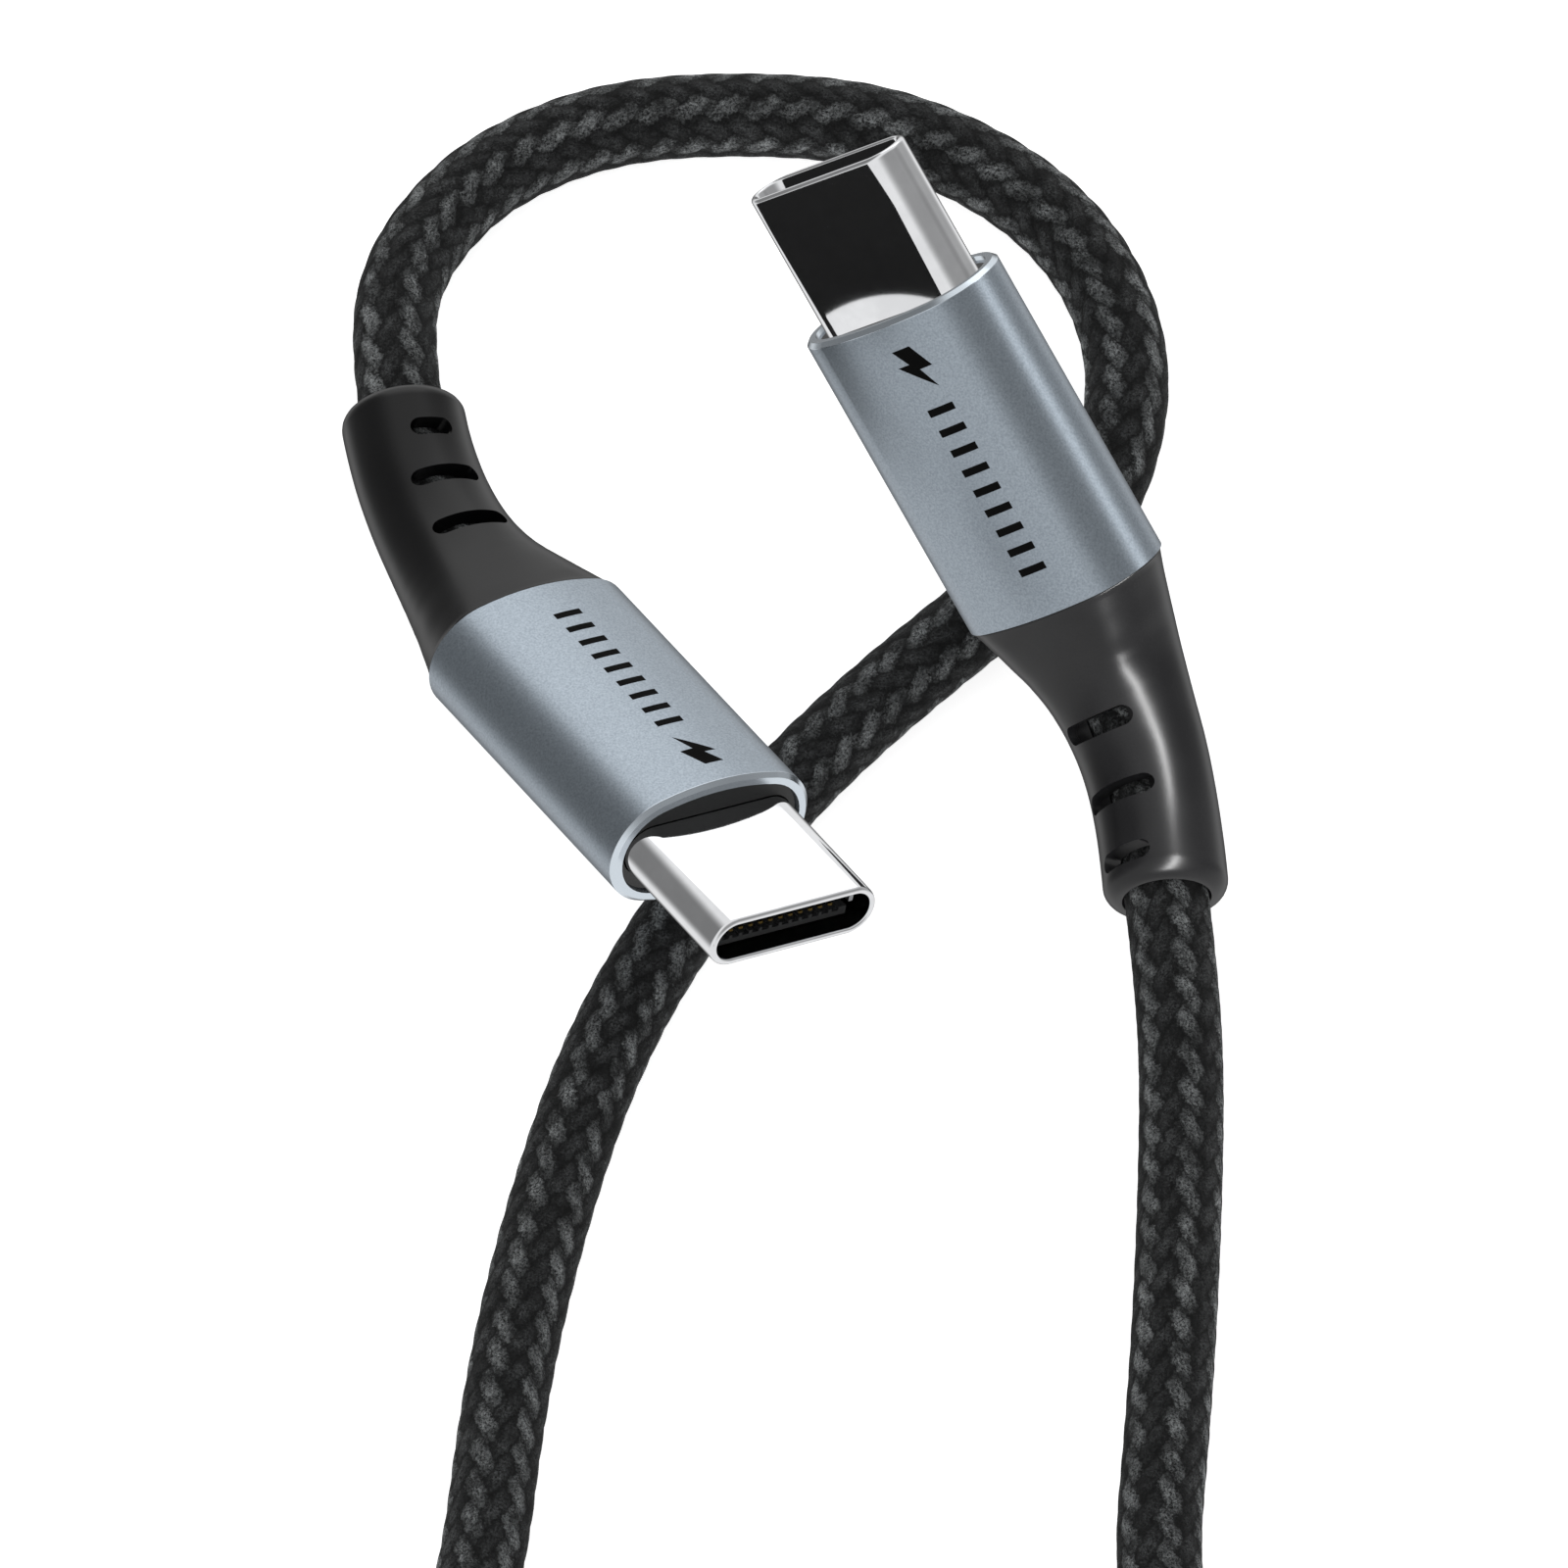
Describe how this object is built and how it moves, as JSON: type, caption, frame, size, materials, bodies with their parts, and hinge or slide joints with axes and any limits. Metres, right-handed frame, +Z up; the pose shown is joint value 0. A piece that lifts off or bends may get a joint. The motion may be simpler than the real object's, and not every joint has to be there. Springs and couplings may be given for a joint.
{
  "type": "charging cable",
  "caption": "Braided charging cable with a slim reversible plug on each end, aluminium shells, slotted strain reliefs, and its spare length tied in a coil.",
  "frame": {"origin": "on the surface that the cable lies on, under the middle of the box round both connectors", "axes": "+Z up, +X from connector a to connector b, -Y towards the coil"},
  "size_m": [0.0526, 0.1289, 0.0224],
  "materials": {
    "anodised_aluminium": "bead-blasted and anodised blue-grey",
    "black_plastic": "moulded, satin",
    "nickel_plated_steel": "bright nickel plate",
    "gold_contacts": "gold flash",
    "spring_steel": "bright",
    "circuit_board": "solder mask",
    "chip_body": "moulded",
    "wire_insulation": "extruded",
    "moulding": "moulded",
    "brass": "drawn",
    "soft_rubber": "satin, moulded",
    "braid": "plaited nylon",
    "strap": "woven strap"
  },
  "bodies": {
    "root": {"shell_a": "anodised_aluminium", "mouth_insert_a": "black_plastic", "plug_shell_a": "nickel_plated_steel", "contact_housing_upper_a": "black_plastic", "contact_housing_lower_a": "black_plastic", "contacts_upper_a": "gold_contacts", "contacts_lower_a": "gold_contacts", "latch_spring_a": "spring_steel", "ground_springs_a": "spring_steel", "circuit_board_a": "circuit_board", "board_components_a": "chip_body", "wire_ends_a": "wire_insulation", "screening_can_a": "spring_steel", "inner_mould_a": "moulding", "crimp_sleeve_a": "brass", "strain_relief_a": "soft_rubber", "jacket_end_a": "braid", "shell_b": "anodised_aluminium", "mouth_insert_b": "black_plastic", "plug_shell_b": "nickel_plated_steel", "contact_housing_upper_b": "black_plastic", "contact_housing_lower_b": "black_plastic", "contacts_upper_b": "gold_contacts", "contacts_lower_b": "gold_contacts", "latch_spring_b": "spring_steel", "ground_springs_b": "spring_steel", "circuit_board_b": "circuit_board", "board_components_b": "chip_body", "wire_ends_b": "wire_insulation", "screening_can_b": "spring_steel", "inner_mould_b": "moulding", "crimp_sleeve_b": "brass", "strain_relief_b": "soft_rubber", "jacket_end_b": "braid", "marker_chip": "chip_body", "cord_run_a": "braid", "cord_run_b": "braid", "cord_coil": "braid", "coil_tie": "strap"}
  },
  "joints": []
}
